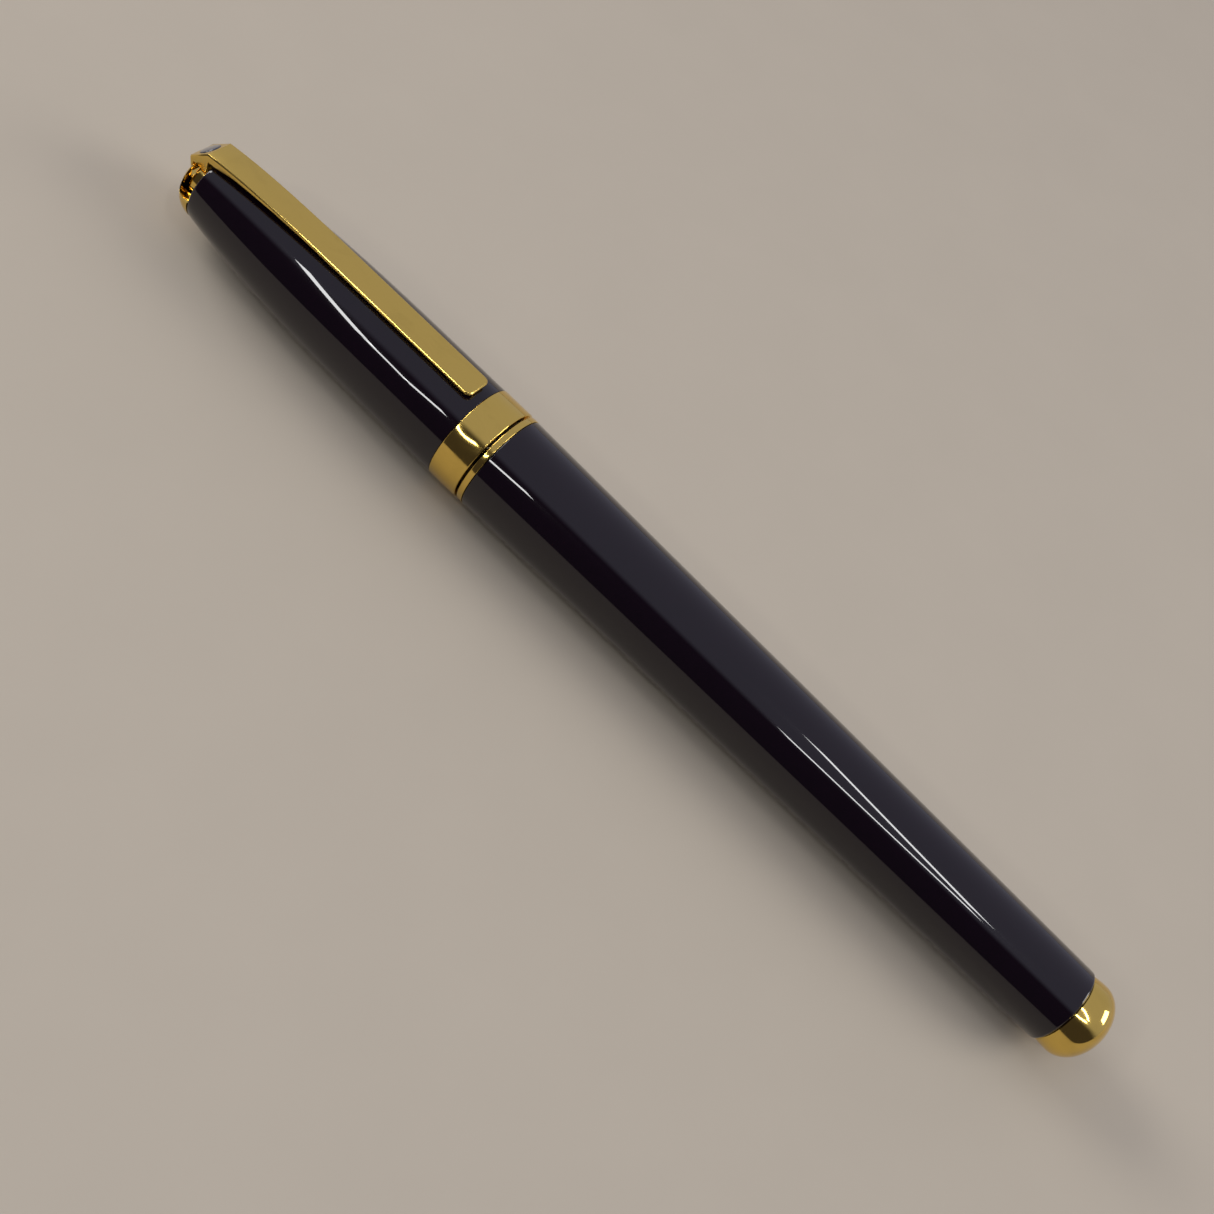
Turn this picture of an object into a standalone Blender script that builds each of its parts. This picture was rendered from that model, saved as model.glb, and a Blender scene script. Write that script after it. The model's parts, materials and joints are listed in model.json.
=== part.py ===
"""Capped rollerball pen, lying along X with its clip up and its tail towards +X.

Stations (x) are millimetres along the pen's axis from the cap's mouth, with the
tail positive and the crown negative. Radii are millimetres from the same axis.
"""

from math import cos, pi, radians, sin

import bmesh
import bpy
from mathutils import Matrix, Vector

MM = 0.001

# Facets round a turned piece. Each is set half a facet round, so that one lies flat underneath.
OUTER_SIDES = 32
INNER_SIDES = 24
SMALL_SIDES = 16

# Overall outline
CROWN_START = -44.7
CROWN_HEIGHT = 3.0
POST_R = 1.3
BAND_START = -4.0
BAND_R = 6.25
CAP_R = 6.2
CAP_END_R = 4.35
CAP_TAPER_POWER = 3.6
COLLAR_START = 0.3
COLLAR_END = 1.05
COLLAR_R = 6.2
BARREL_START = 1.1
BARREL_R = 6.18
BARREL_END = 85.9
BARREL_TAIL_R = 4.86
TAIL_APEX = 91.0
TAIL_R = 4.73
TAIL_WIDEST = 87.8

# Clip and its hinge
CLIP_WIDTH = 3.6
CLIP_TIP = -5.1
CLIP_TIP_TOP = 6.95
CLIP_THICKNESS = 0.5
CLIP_HEAD_TOP = (-45.35, 5.65)
CLIP_HEAD_NOSE = (-47.8, 3.35)
CLIP_PIVOT = (-45.6, 3.7)
PIN_R = 0.45
TONGUE_WIDTH = 1.0

# Fits: static seats, running pins and the snug gap where two turned pieces meet
SEAT = 0.06
RUNNING = 0.05

# Walls
CAP_WALL = 0.6
BARREL_WALL = 0.65
BARREL_SEAT_R = 5.45

# Section, thread and refill
GRIP_START = -24.0
GRIP_R = 5.05
GRIP_FRONT_R = 4.45
NOSE_END = -33.2
NOSE_END_R = 1.75
THREAD_START = 2.0
THREAD_TURNS = 6.5
THREAD_PITCH = 1.0
THREAD_CREST_R = 4.55
THREAD_ROOT_R = 4.2
THREAD_SIDES = 16
REFILL_R = 3.05
REFILL_SHOULDER = -22.3
REFILL_END = 73.6
BALL_R = 0.35
BALL_X = -37.2
SPRING_R = 2.2
SPRING_WIRE_R = 0.2
SPRING_COILS = 5

AXIS_HEIGHT = BAND_R * cos(pi / OUTER_SIDES)
MIDDLE = (CLIP_HEAD_NOSE[0] + TAIL_APEX) / 2


def material(name, colour, roughness, metallic=0.0, coat=0.0):
    """A Principled material, made once for each name."""
    made = bpy.data.materials.get(name)
    if made:
        return made
    made = bpy.data.materials.new(name)
    made.use_nodes = True
    shader = made.node_tree.nodes["Principled BSDF"]
    shader.inputs["Base Color"].default_value = (*colour, 1.0)
    shader.inputs["Roughness"].default_value = roughness
    shader.inputs["Metallic"].default_value = metallic
    shader.inputs["Coat Weight"].default_value = coat
    made.diffuse_color = (*colour, 1.0)
    return made


def lacquer():
    return material("lacquer", (0.02, 0.012, 0.022), 0.08, coat=1.0)


def gold():
    return material("gold_plate", (0.83, 0.62, 0.25), 0.14, metallic=1.0)


def brass():
    return material("brass", (0.72, 0.55, 0.25), 0.3, metallic=1.0)


def steel():
    return material("steel", (0.62, 0.62, 0.63), 0.25, metallic=1.0)


def plastic():
    return material("black_plastic", (0.03, 0.03, 0.032), 0.45)


def rubber():
    return material("rubber", (0.02, 0.02, 0.02), 0.7)


def add_object(name, mesh_data, finish, sharp=30.0):
    """Names a bmesh as an object on the pen's axis, shaded smooth up to the sharp angle."""
    bmesh.ops.recalc_face_normals(mesh_data, faces=mesh_data.faces)
    mesh = bpy.data.meshes.new(name)
    mesh_data.to_mesh(mesh)
    mesh_data.free()
    mesh.materials.append(finish)
    mesh.shade_smooth()
    mesh.set_sharp_from_angle(angle=radians(sharp))
    made = bpy.data.objects.new(name, mesh)
    bpy.context.scene.collection.objects.link(made)
    made.parent = bpy.data.objects["pen_axis"]
    return made


def spun(outline, sides):
    """A bmesh turned round the pen's axis. The outline runs from axis to axis, or closes on itself."""
    data = bmesh.new()
    start = pi / sides
    points = [data.verts.new((x * MM, r * sin(start) * MM, r * cos(start) * MM)) for x, r in outline]
    edges = [data.edges.new(pair) for pair in zip(points, points[1:])]
    if outline[0][1] > 0:
        edges.append(data.edges.new((points[-1], points[0])))
    bmesh.ops.spin(
        data, geom=points + edges, cent=(0, 0, 0), axis=(1, 0, 0), angle=2 * pi, steps=sides, use_merge=True
    )
    bmesh.ops.remove_doubles(data, verts=data.verts, dist=1e-6)
    return data


def turned(name, outline, finish, sides=INNER_SIDES):
    return add_object(name, spun(outline, sides), finish)


def prism(outline, half_width):
    """A bmesh of an outline in X and Z, pulled to the same distance either side of the centre plane."""
    data = bmesh.new()
    corners = [data.verts.new((x * MM, -half_width * MM, z * MM)) for x, z in outline]
    face = data.faces.new(corners)
    pulled = bmesh.ops.extrude_face_region(data, geom=[face])["geom"]
    moved = [part for part in pulled if isinstance(part, bmesh.types.BMVert)]
    bmesh.ops.translate(data, vec=(0, 2 * half_width * MM, 0), verts=moved)
    return data


def slab(outline, low, high):
    """A bmesh of an outline in X and Y, pulled from one height to another."""
    data = bmesh.new()
    corners = [data.verts.new((x * MM, y * MM, low * MM)) for x, y in outline]
    face = data.faces.new(corners)
    pulled = bmesh.ops.extrude_face_region(data, geom=[face])["geom"]
    moved = [part for part in pulled if isinstance(part, bmesh.types.BMVert)]
    bmesh.ops.translate(data, vec=(0, 0, (high - low) * MM), verts=moved)
    return data


def block(low, high):
    """A bmesh box between two corners."""
    size = [(b - a) * MM for a, b in zip(low, high)]
    middle = [(a + b) / 2 * MM for a, b in zip(low, high)]
    data = bmesh.new()
    bmesh.ops.create_cube(data, size=1.0, matrix=Matrix.Translation(middle) @ Matrix.Diagonal((*size, 1.0)))
    return data


def cross_rod(x, z, radius, half_length, sides=SMALL_SIDES):
    """A bmesh rod across the pen, along Y."""
    data = bmesh.new()
    place = Matrix.Translation((x * MM, 0, z * MM)) @ Matrix.Rotation(radians(90), 4, "X")
    bmesh.ops.create_cone(
        data,
        cap_ends=True,
        segments=sides,
        radius1=radius * MM,
        radius2=radius * MM,
        depth=2 * half_length * MM,
        matrix=place,
    )
    return data


def cut(target, shape, operation="DIFFERENCE"):
    """Cuts, joins or intersects the target with a bmesh shape kept as a hidden helper."""
    name = f"{target.name}_{operation.lower()}_{len(target.modifiers)}"
    helper = add_object(name, shape, target.data.materials[0])
    helper.hide_render = True
    helper.display_type = "WIRE"
    step = target.modifiers.new(name, "BOOLEAN")
    step.operation = operation
    step.object = helper


def eased(target, width, angle=40.0, segments=2):
    """Rounds the target's sharp edges with a small bevel."""
    step = target.modifiers.new("edges", "BEVEL")
    step.width = width * MM
    step.segments = segments
    step.limit_method = "ANGLE"
    step.angle_limit = radians(angle)
    step.use_clamp_overlap = True


def put_origin(target, x, z):
    """Moves an object's origin to a point in the centre plane and leaves its shape where it is."""
    target.data.transform(Matrix.Translation((-x * MM, 0, -z * MM)))
    target.location = (x * MM, 0, z * MM)


def cap_radius(x):
    """The cap's lacquered outline: full near the band, falling away ever faster to the crown."""
    along = (BAND_START - x) / (BAND_START - CROWN_START)
    return CAP_R - (CAP_R - CAP_END_R) * max(0.0, along) ** CAP_TAPER_POWER


def barrel_radius(x):
    along = (x - BARREL_START) / (BARREL_END - BARREL_START)
    return BARREL_R + (BARREL_TAIL_R - BARREL_R) * along


def stations(start, end, count, crowd=1.0):
    """Evenly spaced stations from start to end. A crowd over 1 packs them towards the end."""
    return [start + (end - start) * (1 - (1 - i / count) ** crowd) for i in range(count + 1)]


# --- cap -------------------------------------------------------------------------------------


def cap_shell():
    """Lacquered tube, with a thin spigot that the band is pressed over."""
    edge = 0.2
    spigot_r = 5.86
    mouth_bore = 5.5
    outer = [(CROWN_START, CAP_END_R - edge), (CROWN_START + edge, cap_radius(CROWN_START + edge))]
    outer += [(x, cap_radius(x)) for x in stations(-16.0, CROWN_START + 1.6, 7, 1.6)[::-1]]
    outer += [(BAND_START - 0.05, CAP_R), (BAND_START - 0.05, spigot_r), (-1.0, spigot_r)]
    bore = [(-1.0, mouth_bore), (-14.0, mouth_bore)]
    bore += [(x, min(mouth_bore, cap_radius(x) - CAP_WALL)) for x in stations(-24.0, CROWN_START, 4, 1.4)]
    turned("cap_shell", outer + bore, lacquer(), OUTER_SIDES)


def cap_band():
    """Gold ring over the spigot, turned in at the mouth to hide the snap ring."""
    edge = 0.1
    outline = [
        (BAND_START, 5.92),
        (BAND_START, BAND_R - edge),
        (BAND_START + edge, BAND_R),
        (-edge, BAND_R),
        (0.0, BAND_R - edge),
        (0.0, 5.3),
        (-0.9, 5.3),
        (-0.9, 5.92),
    ]
    turned("cap_band", outline, gold(), OUTER_SIDES)


def cap_snap_ring():
    """Split spring ring behind the band's lip, which clicks over the section's catch ring."""
    ring = turned("cap_snap_ring", [(-2.4, 5.22), (-2.4, 5.44), (-1.05, 5.44), (-1.05, 5.22)], steel())
    cut(ring, block((-3.0, -0.5, -7.0), (0.0, 0.5, -4.0)))


def cap_liner():
    """Inner cap: follows the shell, and is closed near the crown round a boss that holds the tip seal."""
    floor = (-43.0, -42.4)
    outer = [(x, min(5.42, cap_radius(x) - CAP_WALL - 0.1)) for x in stations(-22.0, floor[0], 4, 1.4)]
    wall = 0.35
    inner = [(x, r - wall) for x, r in outer[-2::-1]]
    outline = [(-2.5, 5.42)] + outer + [(floor[0], 0.9), (floor[1], 0.9), (floor[1], 2.46), (-38.5, 2.46)]
    outline += [(-38.5, 2.9), (floor[1], 2.9), (floor[1], outer[-1][1] - wall)] + inner
    outline += [(-14.0, 5.2), (-2.5, 5.2)]
    turned("cap_liner", outline, plastic())


def cap_tip_seal():
    """Rubber cup that the writing tip sits in when the cap is on."""
    outline = [(-41.65, 0.0), (-41.65, 2.4), (-36.7, 2.4), (-36.7, 1.5), (-40.8, 1.5), (-40.8, 0.0)]
    turned("cap_tip_seal", outline, rubber(), SMALL_SIDES)


def crown():
    """Domed end with a slot for the clip's nose, open down both sides so that its sleeve shows."""
    power = 2.4
    count = 7
    dome = []
    for i in range(count + 1):
        along = sin(i / count * pi / 2)
        dome.append((CROWN_START - 0.05 - CROWN_HEIGHT * along, CAP_END_R * (1 - along**power) ** (1 / power)))
    pocket = [(-46.75, 0.0), (-46.75, 2.95), (CROWN_START - 0.05, 2.95)]
    made = turned("crown", dome[::-1] + pocket[::-1], gold(), OUTER_SIDES)
    cut(made, block((-50.0, -2.05, 0.9), (-46.0, 2.05, 6.0)))
    cut(made, block((-46.7, -6.0, -0.1), (-44.0, 6.0, 6.0)))
    post = [(-46.9, 0.0), (-46.9, POST_R), (-43.95, POST_R), (-43.95, 0.86), (-46.4, 0.86), (-46.4, 0.0)]
    cut(made, spun(post, SMALL_SIDES), "UNION")


def crown_sleeve():
    """Polished sleeve round the crown's post, with a rounded outer end."""
    bore = POST_R + SEAT
    outline = [(-44.8, bore), (-44.8, 2.7), (-46.1, 2.7), (-46.4, 2.6), (-46.6, 2.3), (-46.6, bore)]
    turned("crown_sleeve", outline, gold(), INNER_SIDES)


def crown_screw():
    """Screw from inside the cap that clamps liner and clip bracket to the crown."""
    outline = [(-46.2, 0.0), (-46.2, 0.8), (-42.35, 0.8), (-42.35, 1.6), (-41.75, 1.6), (-41.75, 0.0)]
    made = turned("crown_screw", outline, steel(), SMALL_SIDES)
    cut(made, block((-42.1, -0.2, -2.0), (-41.0, 0.2, 2.0)))


def clip_bracket():
    """Disc clamped inside the cap's end, with a tongue that reaches out to the clip's pin."""
    disc = [(-43.9, 0.9), (-43.9, 3.6), (-43.1, 3.6), (-43.1, 0.9)]
    made = turned("clip_bracket", disc, steel())
    x, z = CLIP_PIVOT
    tongue = [(-43.4, 2.9), (-43.4, 3.55), (-44.85, 3.55), (x + 0.6, z + 0.6), (x - 0.3, z + 0.6)]
    tongue += [(x - 0.6, z + 0.3), (x - 0.6, 2.9)]
    cut(made, prism(tongue, TONGUE_WIDTH / 2), "UNION")
    cut(made, cross_rod(x, z, PIN_R + RUNNING, 2.0))


# --- clip ------------------------------------------------------------------------------------


def clip_outline():
    """Side view of the clip: the blade, its foot, the arch behind the head and the hooked nose."""
    under = CLIP_TIP_TOP - CLIP_THICKNESS
    top = [(CLIP_TIP, CLIP_TIP_TOP), (-30.0, 6.83), (-36.0, 6.63), (-41.2, 6.23), CLIP_HEAD_TOP]
    nose = [CLIP_HEAD_NOSE, (-47.25, 1.5), (-46.95, 1.5), (-46.95, 2.95), (-44.95, 2.95)]
    arch = [(-44.95, 4.6), (-43.9, 4.74), (-42.7, 5.06), (-41.4, 5.42), (-39.2, 5.72), (-36.0, 6.0)]
    foot = [(-8.2, under), (-7.7, under - 0.17), (-6.5, under - 0.17), (-6.0, under)]
    return top + nose + arch + [(-30.0, 6.3)] + foot + [(CLIP_TIP, under)]


def clip_plan():
    """Top view of the clip, with rounded corners at its tip."""
    half = CLIP_WIDTH / 2
    corner = 0.8
    points = [(-50.0, -half)]
    for side in (-1, 1):
        for i in range(5):
            turn = i / 4 * pi / 2
            out = sin(turn) if side < 0 else cos(turn)
            wide = cos(turn) if side < 0 else sin(turn)
            points.append((CLIP_TIP - corner + corner * out, side * (half - corner + corner * wide)))
    return points + [(-50.0, half)]


def head_slope():
    """The direction up the slanted end of the clip's head, its outward normal and its middle."""
    top = Vector((CLIP_HEAD_TOP[0], 0, CLIP_HEAD_TOP[1]))
    nose = Vector((CLIP_HEAD_NOSE[0], 0, CLIP_HEAD_NOSE[1]))
    along = (top - nose).normalized()
    return along, Vector((-along.z, 0, along.x)), (top + nose) / 2


def oval_stack(rings):
    """A bmesh of stacked ovals on the head's slope, each (scale, height above the slope)."""
    along, normal, middle = head_slope()
    across = Vector((0, 1, 0))
    data = bmesh.new()
    loops = []
    for scale, height in rings:
        loop = []
        for i in range(SMALL_SIDES):
            turn = 2 * pi * i / SMALL_SIDES
            point = middle + normal * height
            point += along * (1.15 * scale * cos(turn)) + across * (1.25 * scale * sin(turn))
            loop.append(data.verts.new(point * MM))
        loops.append(loop)
    data.faces.new(loops[0])
    data.faces.new(loops[-1])
    for low, high in zip(loops, loops[1:]):
        for i in range(SMALL_SIDES):
            j = (i + 1) % SMALL_SIDES
            data.faces.new((low[i], low[j], high[j], high[i]))
    return data


def clip():
    """Sprung clip: a flat blade that thickens into a hooked head, slotted for the bracket's tongue."""
    x, z = CLIP_PIVOT
    made = add_object("clip", prism(clip_outline(), CLIP_WIDTH / 2 + 1.0), gold())
    cut(made, slab(clip_plan(), 0.0, 8.0), "INTERSECT")
    eased(made, 0.12)
    cut(made, spun([(-46.9, 0.0), (-46.9, 2.98), (-44.0, 2.98), (-44.0, 0.0)], INNER_SIDES))
    slot = [(x - 0.75, 1.0), (x - 0.75, z + 0.35), (x - 0.35, z + 0.8), (-44.0, z + 0.8), (-44.0, 1.0)]
    cut(made, prism(slot, 0.95))
    cut(made, cross_rod(x, z, PIN_R + 0.02, 1.55))
    cut(made, oval_stack([(1.04, -0.2), (1.04, 0.5)]))
    put_origin(made, x, z)
    for step in made.modifiers:
        if step.type == "BOOLEAN":
            put_origin(step.object, x, z)


def clip_inlay():
    """Smooth domed oval set in the slanted end of the clip's head."""
    dome = [(1.0, -0.17), (1.0, 0.03), (0.92, 0.07), (0.75, 0.11), (0.45, 0.15), (0.15, 0.17)]
    made = add_object("clip_inlay", oval_stack(dome), material("inlay", (0.05, 0.06, 0.1), 0.08, coat=1.0))
    put_origin(made, *CLIP_PIVOT)


def clip_pin():
    made = add_object("clip_pin", cross_rod(*CLIP_PIVOT, PIN_R, 1.5), steel())
    put_origin(made, *CLIP_PIVOT)


def coil(x, y, z, axis, radius, wire_r, turns, length, wire_sides=6, steps=16):
    """A bmesh of a round wire wound along an axis, X or Y, with flat ends."""
    data = bmesh.new()
    count = int(turns * steps)
    loops = []
    for i in range(count + 1):
        turn = 2 * pi * i / steps
        along = length * i / count
        loop = []
        for j in range(wire_sides):
            side = 2 * pi * (j + 0.5) / wire_sides
            out = radius + wire_r * cos(side)
            shift = along + wire_r * sin(side)
            if axis == "X":
                point = (x + shift, y + out * sin(turn), z + out * cos(turn))
            else:
                point = (x + out * sin(turn), y + shift, z + out * cos(turn))
            loop.append(data.verts.new(Vector(point) * MM))
        loops.append(loop)
    data.faces.new(loops[0])
    data.faces.new(loops[-1])
    for low, high in zip(loops, loops[1:]):
        for j in range(wire_sides):
            k = (j + 1) % wire_sides
            data.faces.new((low[j], low[k], high[k], high[j]))
    return data


def clip_spring():
    """Small torsion coil round the pin, beside the tongue, that presses the blade on to the cap."""
    x, z = CLIP_PIVOT
    turns = 1.5
    shape = coil(x, 0.62, z, "Y", PIN_R + 0.18, 0.08, turns, 0.22, steps=12)
    add_object("clip_spring", shape, steel())


# --- section ---------------------------------------------------------------------------------


def grip_section():
    """The grip that the fingers hold, with a groove for the catch ring."""
    outline = [
        (GRIP_START, 3.96),
        (GRIP_START, GRIP_FRONT_R - 0.15),
        (GRIP_START + 0.15, GRIP_FRONT_R),
        (-16.0, 4.62),
        (-9.0, 4.85),
        (-4.0, GRIP_R),
        (-2.45, GRIP_R),
        (-2.45, 4.88),
        (-1.55, 4.88),
        (-1.55, GRIP_R),
        (0.25, GRIP_R),
        (0.25, 4.04),
        (-8.0, 4.04),
        (-8.0, 3.4),
        (-19.9, 3.4),
        (-19.9, 3.96),
    ]
    turned("grip_section", outline, lacquer(), OUTER_SIDES)


def section_catch_ring():
    outline = [(-2.4, 4.93), (-2.4, 5.06), (-2.2, 5.12), (-1.8, 5.12), (-1.6, 5.06), (-1.6, 4.93)]
    turned("section_catch_ring", outline, steel(), OUTER_SIDES)


def section_collar():
    """Thin gold ring that stays in sight between cap and barrel."""
    edge = 0.08
    outline = [
        (COLLAR_START, 4.91),
        (COLLAR_START, COLLAR_R - edge),
        (COLLAR_START + edge, COLLAR_R),
        (COLLAR_END - edge, COLLAR_R),
        (COLLAR_END, COLLAR_R - edge),
        (COLLAR_END, 4.91),
    ]
    turned("section_collar", outline, gold(), OUTER_SIDES)


def thread_sleeve():
    """Brass sleeve through the grip, with a flange under the collar and the thread for the barrel."""
    outline = [
        (-7.9, 3.35),
        (-7.9, 3.97),
        (0.3, 3.97),
        (0.3, 4.84),
        (COLLAR_END, 4.84),
        (COLLAR_END, 4.24),
        (THREAD_START, THREAD_ROOT_R),
        (9.4, THREAD_ROOT_R),
        (9.7, THREAD_ROOT_R - 0.3),
        (9.7, 3.35),
    ]
    made = turned("thread_sleeve", outline, brass(), THREAD_SIDES)
    cut(made, thread_ridge(), "UNION")


def thread_ridge():
    """A bmesh of the helical ridge, a right-hand thread that rises along +X."""
    base, crest, half = THREAD_ROOT_R - 0.12, THREAD_CREST_R, THREAD_PITCH * 0.3
    profile = [(-half, base), (-half * 0.35, crest), (half * 0.35, crest), (half, base)]
    data = bmesh.new()
    steps = int(THREAD_TURNS * THREAD_SIDES)
    loops = []
    for i in range(steps + 1):
        turn = 2 * pi * (i + 0.5) / THREAD_SIDES
        shift = THREAD_START + half + 0.2 + THREAD_PITCH * i / THREAD_SIDES
        loops.append([data.verts.new(thread_point(shift + x, r, turn)) for x, r in profile])
    data.faces.new(loops[0])
    data.faces.new(loops[-1])
    for low, high in zip(loops, loops[1:]):
        for j in range(len(profile)):
            k = (j + 1) % len(profile)
            data.faces.new((low[j], low[k], high[k], high[j]))
    return data


def thread_point(x, r, turn):
    return Vector((x, -r * sin(turn), r * cos(turn))) * MM


def section_o_ring():
    """Rubber ring behind the flange that stops the barrel working loose."""
    wire_r = 0.24
    middle = (1.42, 4.53)
    outline = []
    for i in range(8):
        side = 2 * pi * i / 8
        outline.append((middle[0] + wire_r * cos(side), middle[1] + wire_r * sin(side)))
    turned("section_o_ring", outline, rubber())


def nose_cone():
    """Gold cone that carries the refill's shoulder and leaves its tip free."""
    outline = [
        (NOSE_END, 1.32),
        (NOSE_END, NOSE_END_R - 0.15),
        (NOSE_END + 0.15, NOSE_END_R),
        (-30.5, 2.62),
        (-27.0, 3.72),
        (GRIP_START - 0.2, 4.4),
        (GRIP_START - 0.05, 4.3),
        (GRIP_START - 0.05, 3.9),
        (-20.0, 3.9),
        (-20.0, 3.3),
        (REFILL_SHOULDER - 0.1, 3.3),
        (REFILL_SHOULDER - 0.1, 2.15),
        (-30.2, 2.15),
        (-31.4, 1.32),
    ]
    turned("nose_cone", outline, gold(), OUTER_SIDES)


# --- refill ----------------------------------------------------------------------------------


def refill_tube():
    outline = [(-20.5, 2.76), (-20.5, REFILL_R), (72.8, REFILL_R), (72.8, 2.76)]
    turned("refill_tube", outline, steel(), SMALL_SIDES)


def refill_feed():
    """Plastic neck that joins the tube to the metal tip and leads the wick to it."""
    outline = [
        (-32.9, 0.95),
        (-32.9, 1.25),
        (-31.3, 1.25),
        (-30.0, 1.95),
        (REFILL_SHOULDER, 1.95),
        (REFILL_SHOULDER, REFILL_R),
        (-20.55, REFILL_R),
        (-20.55, 2.68),
        (-17.0, 2.68),
        (-17.0, 0.7),
        (-30.3, 0.7),
        (-30.3, 0.95),
    ]
    turned("refill_feed", outline, plastic(), SMALL_SIDES)


def refill_tip():
    """Metal writing tip. Its lip closes in past the ball's middle and keeps it."""
    outline = [
        (-30.4, 0.68),
        (-30.4, 0.9),
        (-32.95, 0.9),
        (-32.95, 1.18),
        (-35.2, 1.15),
        (-37.0, 0.64),
        (-37.42, 0.48),
        (-37.42, 0.33),
        (-37.25, 0.42),
        (-36.9, 0.42),
        (-36.75, 0.28),
        (-34.3, 0.28),
        (-34.3, 0.68),
    ]
    turned("refill_tip", outline, steel(), SMALL_SIDES)


def writing_ball():
    data = bmesh.new()
    bmesh.ops.create_icosphere(data, subdivisions=2, radius=BALL_R * MM)
    made = add_object("writing_ball", data, steel())
    made.location = (BALL_X * MM, 0, 0)


def ink_wick():
    turned("ink_wick", [(-34.2, 0.0), (-34.2, 0.6), (-17.1, 0.6), (-17.1, 0.0)], rubber(), 12)


def ink_reservoir():
    outline = [(-16.8, 0.0), (-16.8, 2.62), (70.6, 2.62), (70.6, 0.0)]
    turned("ink_reservoir", outline, material("ink_fibre", (0.02, 0.03, 0.12), 0.8), SMALL_SIDES)


def refill_end_plug():
    outline = [(70.9, 0.0), (70.9, 2.68), (72.85, 2.68), (72.85, REFILL_R), (73.3, REFILL_R)]
    outline += [(REFILL_END, 2.8), (REFILL_END, 0.0)]
    turned("refill_end_plug", outline, plastic(), SMALL_SIDES)


# --- barrel ----------------------------------------------------------------------------------


def refill_spring():
    """Compression spring between the refill's end and the tail insert."""
    start = REFILL_END + 0.1 + SPRING_WIRE_R
    length = 80.9 - start - SPRING_WIRE_R
    shape = coil(start, 0.0, 0.0, "X", SPRING_R, SPRING_WIRE_R, SPRING_COILS, length)
    add_object("refill_spring", shape, steel())


def barrel_shell():
    """Lacquered tube that tapers to the tail."""
    edge = 0.12
    outer = [(BARREL_START, BARREL_R - edge), (BARREL_START + edge, BARREL_R)]
    outer += [(x, barrel_radius(x)) for x in (45.0, BARREL_END - 0.9)]
    outer += [(BARREL_END - 0.3, BARREL_TAIL_R - 0.08), (BARREL_END, BARREL_TAIL_R - 0.28)]
    bore = [(BARREL_END, 4.2), (80.0, barrel_radius(80.0) - BARREL_WALL), (10.6, 5.35), (10.6, BARREL_SEAT_R)]
    turned("barrel_shell", outer + bore + [(BARREL_START, BARREL_SEAT_R)], lacquer(), OUTER_SIDES)


def barrel_bush():
    """Brass bush with the barrel's thread, and a wider mouth for the O-ring."""
    edge = 0.3
    bore = THREAD_CREST_R + 0.14
    outside = BARREL_SEAT_R - 0.09
    outline = [
        (BARREL_START + 0.05, 4.95),
        (BARREL_START + 0.05, outside),
        (10.4, outside),
        (10.4, bore + edge),
        (10.4 - edge, bore),
        (THREAD_START + edge, bore),
        (THREAD_START, 4.95),
    ]
    turned("barrel_bush", outline, brass())


def tail_insert():
    """Brass plug in the barrel's tail: the spring stands on it and the finial screws into it."""
    turned("tail_insert", [(81.0, 1.58), (81.0, 4.05), (85.7, 4.05), (85.7, 1.58)], brass())


def tail_finial():
    """Gold dome, a little wider past its root, on a stud."""
    root = BARREL_END + 0.05
    outline = [(81.4, 0.0), (81.4, 1.3), (81.6, 1.5), (root, 1.5), (root, 4.55)]
    outline += [(root + 0.7, 4.66), (TAIL_WIDEST, TAIL_R)]
    count = 7
    for i in range(1, count + 1):
        turn = i / count * pi / 2
        outline.append((TAIL_WIDEST + (TAIL_APEX - TAIL_WIDEST) * sin(turn), TAIL_R * max(0.0, cos(turn))))
    outline[-1] = (TAIL_APEX, 0.0)
    turned("tail_finial", outline, gold(), OUTER_SIDES)


def clear_scene():
    for old in list(bpy.data.objects):
        bpy.data.objects.remove(old)


def main():
    clear_scene()
    axis = bpy.data.objects.new("pen_axis", None)
    axis.location = (-MIDDLE * MM, 0, AXIS_HEIGHT * MM)
    bpy.context.scene.collection.objects.link(axis)
    for build in (
        cap_shell,
        cap_band,
        cap_snap_ring,
        cap_liner,
        cap_tip_seal,
        crown,
        crown_sleeve,
        crown_screw,
        clip_bracket,
        clip,
        clip_inlay,
        clip_pin,
        clip_spring,
        grip_section,
        section_catch_ring,
        section_collar,
        thread_sleeve,
        section_o_ring,
        nose_cone,
        refill_tube,
        refill_feed,
        refill_tip,
        writing_ball,
        ink_wick,
        ink_reservoir,
        refill_end_plug,
        refill_spring,
        barrel_shell,
        barrel_bush,
        tail_insert,
        tail_finial,
    ):
        build()


main()
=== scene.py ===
"""Finished surfaces, stage and light for a capped rollerball pen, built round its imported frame."""

import json
from math import atan2, cos, pi, radians, sin, tan

import bpy
from mathutils import Matrix, Vector

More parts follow.
